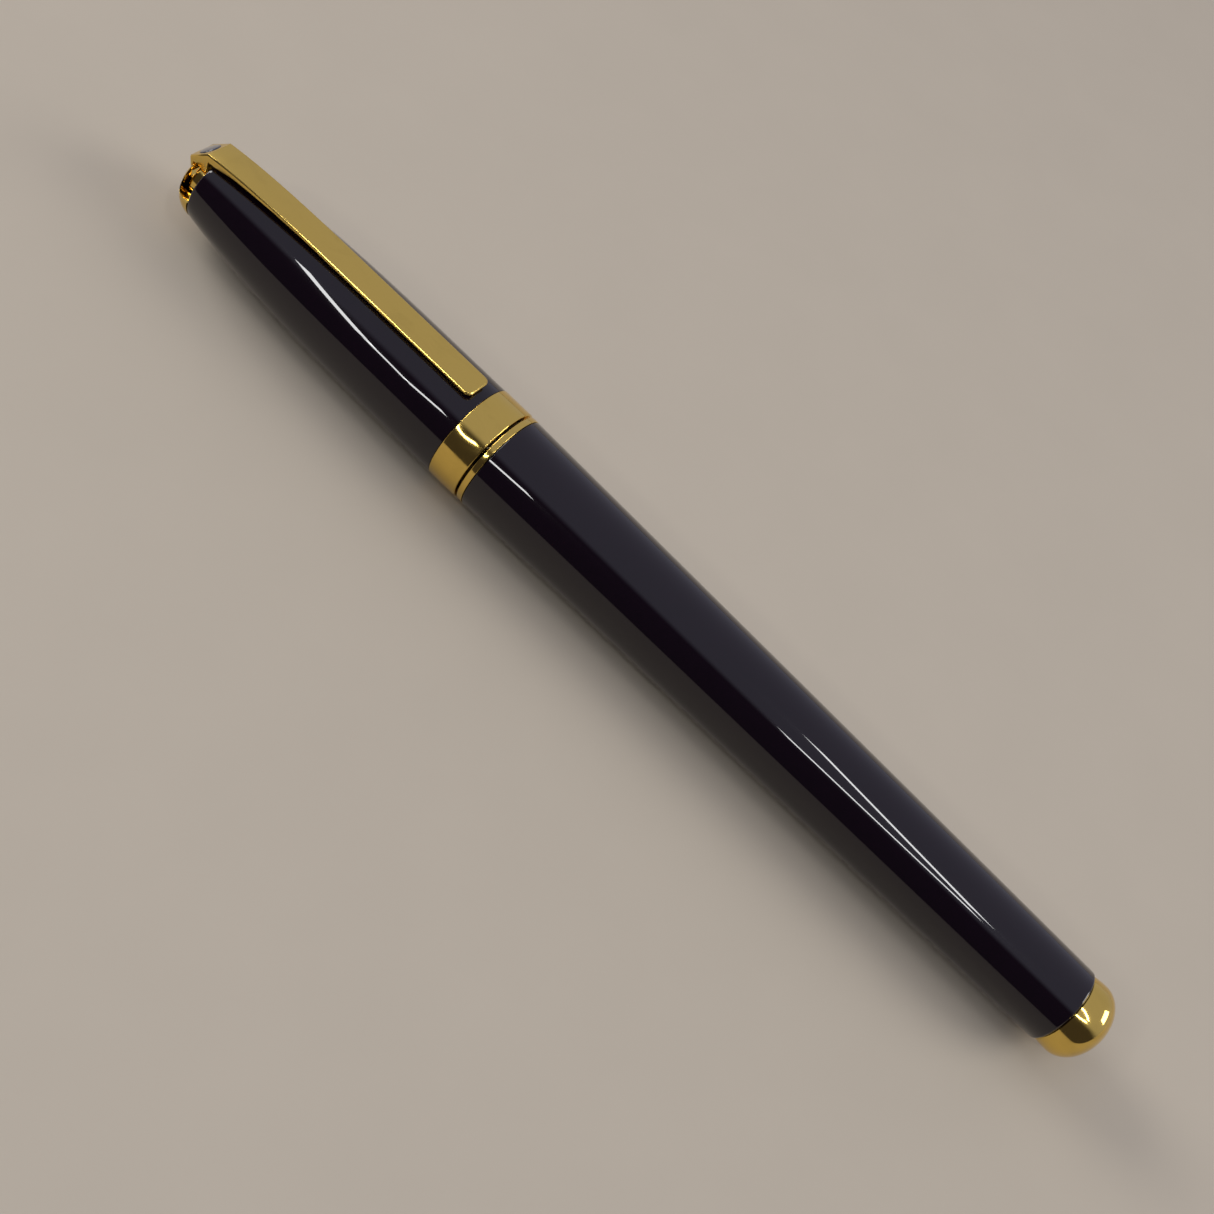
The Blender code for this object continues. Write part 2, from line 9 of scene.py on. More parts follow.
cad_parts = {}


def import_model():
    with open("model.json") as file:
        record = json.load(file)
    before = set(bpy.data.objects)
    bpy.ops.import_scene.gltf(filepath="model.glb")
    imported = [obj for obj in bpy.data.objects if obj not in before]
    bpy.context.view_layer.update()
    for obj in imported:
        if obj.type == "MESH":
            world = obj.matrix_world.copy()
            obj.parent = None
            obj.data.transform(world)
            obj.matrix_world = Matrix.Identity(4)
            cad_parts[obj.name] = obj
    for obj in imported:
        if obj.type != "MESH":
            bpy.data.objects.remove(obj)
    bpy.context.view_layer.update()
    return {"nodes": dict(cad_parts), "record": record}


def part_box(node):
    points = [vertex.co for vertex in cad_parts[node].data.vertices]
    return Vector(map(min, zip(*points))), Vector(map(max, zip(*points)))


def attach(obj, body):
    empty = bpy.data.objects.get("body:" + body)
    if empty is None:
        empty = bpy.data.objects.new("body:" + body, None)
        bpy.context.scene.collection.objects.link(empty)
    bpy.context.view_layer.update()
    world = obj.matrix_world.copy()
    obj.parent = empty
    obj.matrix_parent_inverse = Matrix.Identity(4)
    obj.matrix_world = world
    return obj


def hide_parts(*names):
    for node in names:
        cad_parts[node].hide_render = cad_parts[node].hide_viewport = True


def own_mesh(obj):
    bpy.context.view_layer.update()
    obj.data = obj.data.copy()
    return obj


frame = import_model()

bl_info = {
    "name": "Rollerball pen",
    "version": (1, 0, 0),
    "blender": (4, 5, 0),
    "location": "3D View > Sidebar > Pen",
    "description": "Models and finishes a capped rollerball pen round its working frame",
    "category": "Object",
}

MM = 0.001
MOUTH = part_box("cap_band")[1][0]
AXIS_Z = (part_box("cap_band")[0][2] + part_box("cap_band")[1][2]) / 2
OUTER_FACETS, INNER_FACETS, SMALL_FACETS = 32, 24, 16


def span(node, facets=OUTER_FACETS):
    """A turned node's start and end from the cap's mouth and its radius, in millimetres."""
    low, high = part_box(node)
    radius = (high[1] - low[1]) / 2 / cos(pi / facets)
    return (low[0] - MOUTH) / MM, (high[0] - MOUTH) / MM, radius / MM


CAP_START, _, CAP_R = span("cap_shell")
BAND_START, _, BAND_R = span("cap_band")
COLLAR_START, COLLAR_END, COLLAR_R = span("section_collar")
BARREL_START, BARREL_END, BARREL_R = span("barrel_shell")
_, TAIL_APEX, TAIL_R = span("tail_finial")
CROWN_APEX, _, CROWN_R = span("crown")
SLEEVE_START, SLEEVE_END, SLEEVE_R = span("crown_sleeve", INNER_FACETS)
CAP_TAPER_POWER = 3.6
BARREL_TAIL_SHARE = 0.7864
CLIP_LOW = (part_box("clip")[0] - Vector((MOUTH, 0, AXIS_Z))) / MM
CLIP_HIGH = (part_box("clip")[1] - Vector((MOUTH, 0, AXIS_Z))) / MM


# --- settings ----------------------------------------------------------------------------------


class PenShape(bpy.types.PropertyGroup):
    sides: bpy.props.IntProperty(
        name="Sides", description="Flats round each turned piece", default=160, min=24
    )
    small_sides: bpy.props.IntProperty(
        name="Small sides", description="Flats round the inner pieces", default=96, min=16
    )
    edge: bpy.props.FloatProperty(
        name="Edge", description="Radius of the plated edges, in millimetres", default=0.12
    )
    clip_chamfer: bpy.props.FloatProperty(
        name="Clip chamfer", description="Flat cut along the clip's top edges, in millimetres", default=0.26
    )
    clip_corner: bpy.props.FloatProperty(
        name="Clip corner", description="Radius of the clip's free end seen from above, in millimetres", default=0.75
    )
    thread_turns: bpy.props.FloatProperty(
        name="Thread turns", description="Turns of the barrel thread", default=6.5
    )


class PenFinish(bpy.types.PropertyGroup):
    lacquer: bpy.props.FloatVectorProperty(
        name="Lacquer", description="Deep colour under the clear coat", subtype="COLOR", default=(0.0045, 0.0012, 0.0045)
    )
    gold: bpy.props.FloatVectorProperty(
        name="Gold", description="Gold plate", subtype="COLOR", default=(0.78, 0.54, 0.13)
    )
    brass: bpy.props.FloatVectorProperty(
        name="Brass", description="Bare turned brass", subtype="COLOR", default=(0.72, 0.52, 0.24)
    )
    steel: bpy.props.FloatVectorProperty(
        name="Steel", description="Stainless steel", subtype="COLOR", default=(0.60, 0.60, 0.61)
    )
    inlay: bpy.props.FloatVectorProperty(
        name="Inlay", description="Domed stone in the clip's head", subtype="COLOR", default=(0.030, 0.036, 0.060)
    )


class PenStage(bpy.types.PropertyGroup):
    camera_place: bpy.props.FloatVectorProperty(
        name="Camera place", description="From the frame's origin", subtype="TRANSLATION", default=(0.01153, -0.09808, 0.13184)
    )
    camera_turn: bpy.props.FloatVectorProperty(
        name="Camera turn", description="Turn about X, Y and Z, in degrees", default=(30.656, -21.864, 39.457)
    )
    camera_lens: bpy.props.FloatProperty(name="Lens", description="Focal length, in millimetres", default=42.774)
    floor: bpy.props.FloatVectorProperty(
        name="Floor", description="Plain pale floor", subtype="COLOR", default=(0.49, 0.435, 0.35)
    )
    ambient: bpy.props.FloatProperty(name="Ambient", description="Strength of the even sky", default=0.47)


# --- modelling -----------------------------------------------------------------------------------


def deselect():
    if bpy.context.mode != "OBJECT":
        bpy.ops.object.mode_set(mode="OBJECT")
    bpy.ops.object.select_all(action="DESELECT")


def world(x, y, z):
    """A point in metres from millimetres along, across and above the pen's axis, x from the cap's mouth."""
    return Vector((MOUTH + x * MM, y * MM, AXIS_Z + z * MM))


def rounded(points, steps=5):
    """An outline whose corners with a third value are rounded to that radius."""
    out = []
    count = len(points)
    for i, point in enumerate(points):
        here = Vector(point[:2])
        radius = point[2] if len(point) > 2 else 0.0
        if not radius:
            out.append(tuple(here))
            continue
        back = Vector(points[i - 1][:2]) - here
        ahead = Vector(points[(i + 1) % count][:2]) - here
        angle = back.angle(ahead)
        reach = min(radius / tan(angle / 2), back.length * 0.49, ahead.length * 0.49)
        radius = reach * tan(angle / 2)
        middle = here + (back.normalized() + ahead.normalized()).normalized() * (radius / sin(angle / 2))
        first = here + back.normalized() * reach - middle
        last = here + ahead.normalized() * reach - middle
        sweep = atan2(first.x * last.y - first.y * last.x, first.dot(last))
        for k in range(steps + 1):
            turn = sweep * k / steps
            spoke = Vector((first.x * cos(turn) - first.y * sin(turn), first.x * sin(turn) + first.y * cos(turn)))
            out.append(tuple(middle + spoke))
    return out


def start_point(name, place):
    """A new mesh with one vertex, left in edit mode with the vertex selected."""
    deselect()
    bpy.ops.mesh.primitive_plane_add(size=MM, location=place)
    piece = bpy.context.object
    piece.name = name
    bpy.ops.object.mode_set(mode="EDIT")
    bpy.ops.mesh.select_all(action="SELECT")
    bpy.ops.mesh.merge(type="CENTER")
    return piece


def draw(points):
    """Pulls the selected vertex from point to point."""
    for here, ahead in zip(points, points[1:]):
        bpy.ops.mesh.extrude_vertices_move(TRANSFORM_OT_translate={"value": ahead - here})


def settle(piece, angle=32.0):
    """Leaves edit mode with the piece's place in its mesh, its faces outwards and its round parts smooth."""
    bpy.ops.object.mode_set(mode="OBJECT")
    bpy.ops.object.select_all(action="DESELECT")
    piece.select_set(True)
    bpy.context.view_layer.objects.active = piece
    bpy.ops.object.transform_apply(location=True, rotation=True, scale=True)
    bpy.ops.object.shade_smooth_by_angle(angle=radians(angle))
    return piece


def turned(name, outline, sides, closed=True):
    """Spins an outline of (x, radius) round the pen's axis. An open outline starts and ends on the axis."""
    points = [world(x, 0, r) for x, r in outline]
    if closed:
        points.append(points[0])
    piece = start_point(name, points[0])
    draw(points)
    bpy.ops.mesh.select_all(action="SELECT")
    bpy.ops.mesh.remove_doubles(threshold=1e-7)
    bpy.ops.mesh.select_all(action="SELECT")
    bpy.ops.mesh.spin(steps=sides, angle=2 * pi, center=(0, 0, AXIS_Z), axis=(1, 0, 0))
    bpy.ops.mesh.select_all(action="SELECT")
    bpy.ops.mesh.remove_doubles(threshold=1e-6)
    bpy.ops.mesh.normals_make_consistent(inside=False)
    return settle(piece)


def wound(name, profile, first, length, turns, steps):
    """Winds a closed profile of (x, radius) round the pen's axis while it moves along by a length."""
    points = [world(first + x, 0, r) for x, r in profile]
    piece = start_point(name, points[0])
    draw(points + [points[0]])
    bpy.ops.mesh.select_all(action="SELECT")
    bpy.ops.mesh.remove_doubles(threshold=1e-7)
    deselect()
    centre = bpy.data.objects.new("winding_axis", None)
    centre.location = (0, 0, AXIS_Z)
    bpy.context.scene.collection.objects.link(centre)
    wind = piece.modifiers.new("wind", "SCREW")
    wind.axis = "X"
    wind.object = centre
    wind.angle = 2 * pi * turns
    wind.screw_offset = length * MM
    wind.steps = wind.render_steps = int(steps * turns)
    wind.use_merge_vertices = False
    piece.select_set(True)
    bpy.context.view_layer.objects.active = piece
    bpy.ops.object.modifier_apply(modifier=wind.name)
    bpy.data.objects.remove(centre)
    bpy.ops.object.mode_set(mode="EDIT")
    bpy.ops.mesh.select_all(action="DESELECT")
    bpy.ops.mesh.select_non_manifold()
    bpy.ops.mesh.fill_holes(sides=0)
    bpy.ops.mesh.select_all(action="SELECT")
    bpy.ops.mesh.normals_make_consistent(inside=False)
    return settle(piece)


def plate(name, outline, half_width, plan=False):
    """A filled outline pulled to both sides: a side view pulled across, or a plan pulled upwards."""
    if plan:
        points = [world(x, y, -half_width) for x, y in outline]
        pull = (0, 0, 2 * half_width * MM)
    else:
        points = [world(x, -half_width, z) for x, z in outline]
        pull = (0, 2 * half_width * MM, 0)
    piece = start_point(name, points[0])
    draw(points)
    bpy.ops.mesh.select_all(action="SELECT")
    bpy.ops.mesh.edge_face_add()
    bpy.ops.mesh.extrude_region_move(TRANSFORM_OT_translate={"value": pull})
    bpy.ops.mesh.select_all(action="SELECT")
    bpy.ops.mesh.normals_make_consistent(inside=False)
    return settle(piece)


def combine(piece, other, operation="DIFFERENCE"):
    """Applies a Boolean of the other piece and removes that piece."""
    step = piece.modifiers.new(operation.lower(), "BOOLEAN")
    step.operation = operation
    step.object = other
    deselect()
    piece.select_set(True)
    bpy.context.view_layer.objects.active = piece
    bpy.ops.object.modifier_apply(modifier=step.name)
    bpy.data.objects.remove(other)


def ease(piece, width, segments, angle=40.0):
    """Applies a bevel to the piece's sharp edges."""
    step = piece.modifiers.new("edges", "BEVEL")
    step.width = width * MM
    step.segments = segments
    step.limit_method = "ANGLE"
    step.angle_limit = radians(angle)
    deselect()
    piece.select_set(True)
    bpy.context.view_layer.objects.active = piece
    bpy.ops.object.modifier_apply(modifier=step.name)


def smooth(piece, angle=32.0):
    deselect()
    piece.select_set(True)
    bpy.context.view_layer.objects.active = piece
    bpy.ops.object.shade_smooth_by_angle(angle=radians(angle))


def place(piece, body, slot, finish, *nodes):
    """Gives a finished piece its material, the body it moves with and the nodes it stands for."""
    piece.data.materials.clear()
    piece.data.materials.append(finish)
    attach(piece, body)
    if nodes:
        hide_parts(*nodes)
    return piece


def dress(node, finish):
    """Gives a node of the frame its finish."""
    mesh = frame["nodes"][node].data
    mesh.materials.clear()
    mesh.materials.append(finish)


def between(start, end, count):
    return [start + (end - start) * i / count for i in range(count + 1)]


# --- materials -----------------------------------------------------------------------------------


def link(tree, source, target):
    tree.links.new(source, target)


def add(tree, kind, **values):
    """A shader node with its settings and its named inputs' values."""
    made = tree.nodes.new(kind)
    for key, value in values.items():
        if key in made.inputs:
            if isinstance(value, bpy.types.NodeSocket):
                tree.links.new(value, made.inputs[key])
            else:
                made.inputs[key].default_value = value
        else:
            setattr(made, key, value)
    return made


def group(name, inputs, outputs):
    """An empty shader group with float inputs and outputs, and its two end nodes."""
    made = bpy.data.node_groups.new(name, "ShaderNodeTree")
    for label, value in inputs.items():
        socket = made.interface.new_socket(label, in_out="INPUT", socket_type="NodeSocketFloat")
        socket.default_value = value
    for label in outputs:
        made.interface.new_socket(label, in_out="OUTPUT", socket_type="NodeSocketFloat")
    return made, made.nodes.new("NodeGroupInput"), made.nodes.new("NodeGroupOutput")


def stretched(tree, stretch):
    """Object coordinates scaled differently along each axis."""
    place_in = add(tree, "ShaderNodeTexCoord")
    mapped = add(tree, "ShaderNodeMapping")
    link(tree, place_in.outputs["Object"], mapped.inputs["Vector"])
    mapped.inputs["Scale"].default_value = stretch
    return mapped.outputs["Vector"]


def handling_marks():
    """Cloudy haze left by fingers: 0 clean, 1 hazed."""
    made, given, result = group("handling marks", {"Size": 240.0, "Spread": 0.5}, ["Mask"])
    cloud = add(made, "ShaderNodeTexNoise", Detail=5.0, Roughness=0.62, Distortion=0.6)
    link(made, stretched(made, (0.6, 1.0, 1.0)), cloud.inputs["Vector"])
    link(made, given.outputs["Size"], cloud.inputs["Scale"])
    level = add(made, "ShaderNodeMapRange", interpolation_type="SMOOTHSTEP")
    link(made, cloud.outputs["Fac"], level.inputs["Value"])
    link(made, given.outputs["Spread"], level.inputs["From Min"])
    level.inputs["From Max"].default_value = 0.78
    link(made, level.outputs["Result"], result.inputs["Mask"])
    return made


def hairlines():
    """Fine polishing lines that run along the pen, as a height from 0 to 1."""
    made, given, result = group("hairlines", {"Fineness": 9000.0}, ["Height"])
    lines = add(made, "ShaderNodeTexNoise", Detail=3.0, Roughness=0.7)
    link(made, stretched(made, (0.02, 1.0, 1.0)), lines.inputs["Vector"])
    link(made, given.outputs["Fineness"], lines.inputs["Scale"])
    link(made, lines.outputs["Fac"], result.inputs["Height"])
    return made


def turning_lines():
    """Rings left by the lathe, as a height from 0 to 1."""
    made, given, result = group("turning lines", {"Fineness": 6000.0}, ["Height"])
    lines = add(made, "ShaderNodeTexNoise", Detail=4.0, Roughness=0.65)
    link(made, stretched(made, (1.0, 0.01, 0.01)), lines.inputs["Vector"])
    link(made, given.outputs["Fineness"], lines.inputs["Scale"])
    link(made, lines.outputs["Fac"], result.inputs["Height"])
    return made


def grain():
    """Fine even grain of moulded plastic, rubber or fibre, as a height from 0 to 1."""
    made, given, result = group("grain", {"Fineness": 5000.0}, ["Height"])
    dots = add(made, "ShaderNodeTexNoise", Detail=6.0, Roughness=0.6)
    link(made, stretched(made, (1.0, 1.0, 1.0)), dots.inputs["Vector"])
    link(made, given.outputs["Fineness"], dots.inputs["Scale"])
    link(made, dots.outputs["Fac"], result.inputs["Height"])
    return made


def use(tree, maker, **values):
    """A node that uses a group, which is built the first time."""
    name = maker.__name__.replace("_", " ")
    made = add(tree, "ShaderNodeGroup")
    made.node_tree = bpy.data.node_groups.get(name) or maker()
    for key, value in values.items():
        made.inputs[key].default_value = value
    return made


def shader_of(name):
    """A new material's node tree and Principled BSDF, and the material."""
    made = bpy.data.materials.new(name)
    made.use_nodes = True
    return made, made.node_tree, made.node_tree.nodes["Principled BSDF"]


def mixed(tree, mask, low, high):
    """A colour between two colours by a mask."""
    made = add(tree, "ShaderNodeMix", data_type="RGBA")
    link(tree, mask, made.inputs["Factor"])
    made.inputs[6].default_value = (*low, 1.0)
    made.inputs[7].default_value = (*high, 1.0)
    return made.outputs[2]


def ranged(tree, mask, low, high):
    """A value between two values by a mask."""
    made = add(tree, "ShaderNodeMapRange")
    link(tree, mask, made.inputs["Value"])
    made.inputs["To Min"].default_value = low
    made.inputs["To Max"].default_value = high
    return made.outputs["Result"]


def bumped(tree, shader, height, strength, depth):
    """Feeds a height to the shader's normal through a Bump node, with the depth in metres."""
    made = add(tree, "ShaderNodeBump", Strength=strength, Distance=depth)
    link(tree, height, made.inputs["Height"])
    link(tree, made.outputs["Normal"], shader.inputs["Normal"])


def tinted(colour, factor):
    return tuple(min(1.0, channel * factor) for channel in colour)


def lacquer_finish():
    """Near-black aubergine lacquer under a clear coat, with faint depth and handling haze."""
    colour = tuple(bpy.context.scene.pen_finish.lacquer)
    made, tree, shader = shader_of("aubergine lacquer")
    depth = use(tree, grain, Fineness=900.0)
    link(tree, mixed(tree, depth.outputs["Height"], tinted(colour, 0.8), tinted(colour, 1.25)), shader.inputs["Base Color"])
    haze = use(tree, handling_marks, Size=210.0, Spread=0.56)
    link(tree, ranged(tree, haze.outputs["Mask"], 0.16, 0.24), shader.inputs["Roughness"])
    shader.inputs["Coat Weight"].default_value = 1.0
    shader.inputs["Coat Roughness"].default_value = 0.012
    shader.inputs["Coat IOR"].default_value = 1.52
    shader.inputs["Specular IOR Level"].default_value = 0.02
    lines = use(tree, hairlines, Fineness=4200.0)
    bumped(tree, shader, lines.outputs["Height"], 0.05, 0.00001)
    return made


def gold_finish(name, maker, fineness, low, high, strength):
    """Polished gold plate with the lines of its polishing, a little haze and a slightly uneven tone."""
    colour = tuple(bpy.context.scene.pen_finish.gold)
    made, tree, shader = shader_of(name)
    haze = use(tree, handling_marks, Size=330.0, Spread=0.46)
    link(tree, mixed(tree, haze.outputs["Mask"], colour, tinted(colour, 0.90)), shader.inputs["Base Color"])
    link(tree, ranged(tree, haze.outputs["Mask"], low, high), shader.inputs["Roughness"])
    shader.inputs["Metallic"].default_value = 1.0
    lines = use(tree, maker, Fineness=fineness)
    bumped(tree, shader, lines.outputs["Height"], strength, 0.00001)
    return made


def turned_gold():
    return gold_finish("polished gold, turned", turning_lines, 9000.0, 0.07, 0.15, 0.02)


def clip_gold():
    return gold_finish("satin gold, drawn", hairlines, 11000.0, 0.17, 0.24, 0.10)


def metal_finish(name, colour, maker, fineness, low, high, strength):
    """Bare machined metal with its tool lines and dull patches."""
    made, tree, shader = shader_of(name)
    lines = use(tree, maker, Fineness=fineness)
    link(tree, mixed(tree, lines.outputs["Height"], tinted(colour, 0.85), colour), shader.inputs["Base Color"])
    haze = use(tree, handling_marks, Size=420.0, Spread=0.5)
    link(tree, ranged(tree, haze.outputs["Mask"], low, high), shader.inputs["Roughness"])
    shader.inputs["Metallic"].default_value = 1.0
    bumped(tree, shader, lines.outputs["Height"], strength, 0.00002)
    return made


def brass_finish():
    colour = tuple(bpy.context.scene.pen_finish.brass)
    return metal_finish("turned brass", colour, turning_lines, 5200.0, 0.24, 0.38, 0.35)


def steel_finish():
    colour = tuple(bpy.context.scene.pen_finish.steel)
    return metal_finish("stainless steel", colour, turning_lines, 7000.0, 0.18, 0.3, 0.25)


def carbide_finish():
    return metal_finish("polished carbide", (0.36, 0.36, 0.38), grain, 30000.0, 0.1, 0.16, 0.05)


def soft_finish(name, colour, roughness, fineness, strength):
    """Moulded plastic, rubber or fibre with a fine grain."""
    made, tree, shader = shader_of(name)
    dots = use(tree, grain, Fineness=fineness)
    link(tree, mixed(tree, dots.outputs["Height"], tinted(colour, 0.75), tinted(colour, 1.3)), shader.inputs["Base Color"])
    link(tree, ranged(tree, dots.outputs["Height"], roughness - 0.08, roughness + 0.08), shader.inputs["Roughness"])
    bumped(tree, shader, dots.outputs["Height"], strength, 0.00003)
    return made


def inlay_finish():
    """Dark blue-grey stone with a cloudy depth under a polished dome."""
    colour = tuple(bpy.context.scene.pen_finish.inlay)
    made, tree, shader = shader_of("domed stone")
    cloud = use(tree, grain, Fineness=1600.0)
    link(tree, mixed(tree, cloud.outputs["Height"], tinted(colour, 0.5), tinted(colour, 1.7)), shader.inputs["Base Color"])
    link(tree, ranged(tree, cloud.outputs["Height"], 0.1, 0.18), shader.inputs["Roughness"])
    shader.inputs["Coat Weight"].default_value = 1.0
    shader.inputs["Coat Roughness"].default_value = 0.03
    return made


def finish(maker, *values):
    """A material made once and shared by the pieces of that finish."""
    key = maker.__name__
    if key not in MADE:
        MADE[key] = maker(*values)
    return MADE[key]


MADE = {}


def plastic_finish():
    return soft_finish("moulded black plastic", (0.030, 0.030, 0.032), 0.45, 6000.0, 0.3)


def rubber_finish():
    return soft_finish("seal rubber", (0.022, 0.022, 0.023), 0.68, 9000.0, 0.5)


def fibre_finish():
    return soft_finish("inked fibre", (0.02, 0.03, 0.12), 0.85, 7000.0, 0.9)


# --- pieces --------------------------------------------------------------------------------------


def cap_radius(x):
    """The cap's outline: full near the band, falling away ever faster to the crown."""
    along = max(0.0, (BAND_START - x) / (BAND_START - CAP_START))
    return CAP_R - (CAP_R - CROWN_R) * along**CAP_TAPER_POWER


class PEN_OT_cap_tube(bpy.types.Operator):
    """Lacquered cap tube with its bore and the spigot under the band"""

    bl_idname = "pen.cap_tube"
    bl_label = "Cap tube"

    def execute(self, context):
        shape = context.scene.pen_shape
        wall = 0.6
        spigot, bore = 5.86, 5.5
        lip = 0.6
        outline = [(CAP_START, CROWN_R - wall), (CAP_START, cap_radius(CAP_START), lip)]
        outline += [(x, cap_radius(x)) for x in between(CAP_START + 0.7, -14.0, 54)]
        outline += [(BAND_START - 0.03, CAP_R, 0.06), (BAND_START - 0.03, spigot), (-1.0, spigot), (-1.0, bore)]
        outline += [(x, min(bore, cap_radius(x) - wall)) for x in between(-16.0, CAP_START + 0.4, 24)]
        piece = turned("cap_tube", rounded(outline), shape.sides)
        place(piece, "cap", "lacquer", finish(lacquer_finish), "cap_shell")
        return {"FINISHED"}


class PEN_OT_cap_band(bpy.types.Operator):
    """Plain polished gold band at the cap's mouth"""

    bl_idname = "pen.cap_band"
    bl_label = "Cap band"

    def execute(self, context):
        shape = context.scene.pen_shape
        outline = [
            (BAND_START, 5.92),
            (BAND_START, BAND_R, shape.edge),
            (0.0, BAND_R, shape.edge * 1.4),
            (0.0, 5.3, 0.1),
            (-0.9, 5.3, 0.1),
            (-0.9, 5.92),
        ]
        piece = turned("cap_band_ring", rounded(outline), shape.sides)
        place(piece, "cap", "gold_plate", finish(turned_gold), "cap_band")
        return {"FINISHED"}


class PEN_OT_cap_inside(bpy.types.Operator):
    """Finishes of the pieces inside the cap"""

    bl_idname = "pen.cap_inside"
    bl_label = "Cap inside"

    def execute(self, context):
        dress("cap_liner", finish(plastic_finish))
        dress("cap_tip_seal", finish(rubber_finish))
        for node in ("cap_snap_ring", "crown_screw", "clip_bracket", "clip_pin", "clip_spring"):
            dress(node, finish(steel_finish))
        return {"FINISHED"}


class PEN_OT_crown(bpy.types.Operator):
    """Gold crown, slotted for the clip and open at its sides, and the polished sleeve that shows in it"""

    bl_idname = "pen.crown"
    bl_label = "Crown"

    def execute(self, context):
        shape = context.scene.pen_shape
        power, start = 2.4, CAP_START - 0.05
        height = start - CROWN_APEX
        dome = []
        for i in range(25):
            along = sin(i / 24 * pi / 2)
            dome.append((start - height * along, CROWN_R * max(0.0, 1 - along**power) ** (1 / power)))
        dome[-1] = (CROWN_APEX, 0.0)
        pocket = 2.95
        floor = SLEEVE_START - 0.15
        piece = turned(
            "crown_dome", dome[::-1] + [(start, pocket), (floor, pocket), (floor, 0.0)], shape.sides, closed=False
        )
        combine(piece, plate("nose_slot", [(-52.0, 0.9), (-46.0, 0.9), (-46.0, 8.0), (-52.0, 8.0)], 2.05))
        sides = [(-46.7, -0.1), (start + 1.0, -0.1), (start + 1.0, 8.0), (-46.7, 8.0)]
        combine(piece, plate("side_openings", sides, 7.0))
        ease(piece, 0.14, 3)
        post = turned("crown_post", [(floor - 0.2, 0.0), (floor - 0.2, 1.3), (start + 0.8, 1.3), (start + 0.8, 0.0)], shape.small_sides, closed=False)
        combine(piece, post, "UNION")
        smooth(piece)
        place(piece, "cap", "gold_plate", finish(turned_gold), "crown")
        outline = [(SLEEVE_END, 1.36), (SLEEVE_END, SLEEVE_R, 0.1), (SLEEVE_START, SLEEVE_R, 0.55), (SLEEVE_START, 1.36)]
        sleeve = turned("crown_sleeve_ring", rounded(outline, 10), shape.sides)
        place(sleeve, "cap", "gold_plate", finish(turned_gold), "crown_sleeve")
        return {"FINISHED"}


def clip_side():
    """Side view of the clip in millimetres: blade, hooked nose, arch and foot."""
    tip, top = CLIP_HIGH.x, CLIP_HIGH.z
    under = top - 0.5
    nose = CLIP_LOW.x
    upper = [(tip, top), (-30.0, top - 0.12), (-33.0, top - 0.2), (-36.0, top - 0.32), (-38.6, top - 0.49)]
    upper += [(-41.2, top - 0.72), (-43.3, top - 0.98), (-45.35, top - 1.3)]
    hook = [(nose, 3.35), (-47.25, 1.5), (-46.95, 1.5), (-46.95, 2.95), (-44.95, 2.95)]
    arch = [(-44.95, 4.6), (-43.9, 4.74), (-42.7, 5.06), (-41.4, 5.42), (-39.2, 5.72), (-36.0, 6.0)]
    foot = [(-8.2, under), (-7.7, under - 0.17), (-6.5, under - 0.17), (-6.0, under)]
    return upper + hook + arch + [(-30.0, top - 0.65)] + foot + [(tip, under)]


def clip_plan(half, corner):
    """Plan of the clip in millimetres with its free corners rounded."""
    tip = CLIP_HIGH.x
    return rounded([(-52.0, -half), (tip, -half, corner), (tip, half, corner), (-52.0, half)], 8)


def head_slope():
    """Up the slanted end of the clip's head, straight out from it, and its middle, in millimetres."""
    top = Vector((-45.35, 0, CLIP_HIGH.z - 1.3))
    nose = Vector((CLIP_LOW.x, 0, 3.35))
    up = (top - nose).normalized()
    return up, Vector((-up.z, 0, up.x)), (top + nose) / 2


def domed_oval(name, rings, sides=64):
    """Stacked ovals on the head's slope, from (scale, height) pairs, drawn and bridged one after another."""
    up, out, middle = head_slope()
    tilt = atan2(out.x, out.z)
    deselect()
    centre = world(*(middle + out * rings[0][1]))
    bpy.ops.mesh.primitive_circle_add(
        vertices=sides, radius=MM * rings[0][0], fill_type="NGON", location=centre, rotation=(0, tilt, 0)
    )
    piece = bpy.context.object
    piece.name = name
    piece.scale = (1.15, 1.25, 1.0)
    bpy.ops.object.transform_apply(location=False, rotation=False, scale=True)
    bpy.ops.object.mode_set(mode="EDIT")
    bpy.ops.mesh.select_all(action="SELECT")
    for (scale, height), (next_scale, next_height) in zip(rings, rings[1:]):
        shift = out * ((next_height - height) * MM)
        bpy.ops.mesh.extrude_region_move(TRANSFORM_OT_translate={"value": shift})
        ratio = next_scale / scale
        bpy.ops.transform.resize(value=(ratio, ratio, ratio), center_override=world(*(middle + out * next_height)))
    bpy.ops.mesh.select_all(action="SELECT")
    bpy.ops.mesh.normals_make_consistent(inside=False)
    return settle(piece, 40.0)


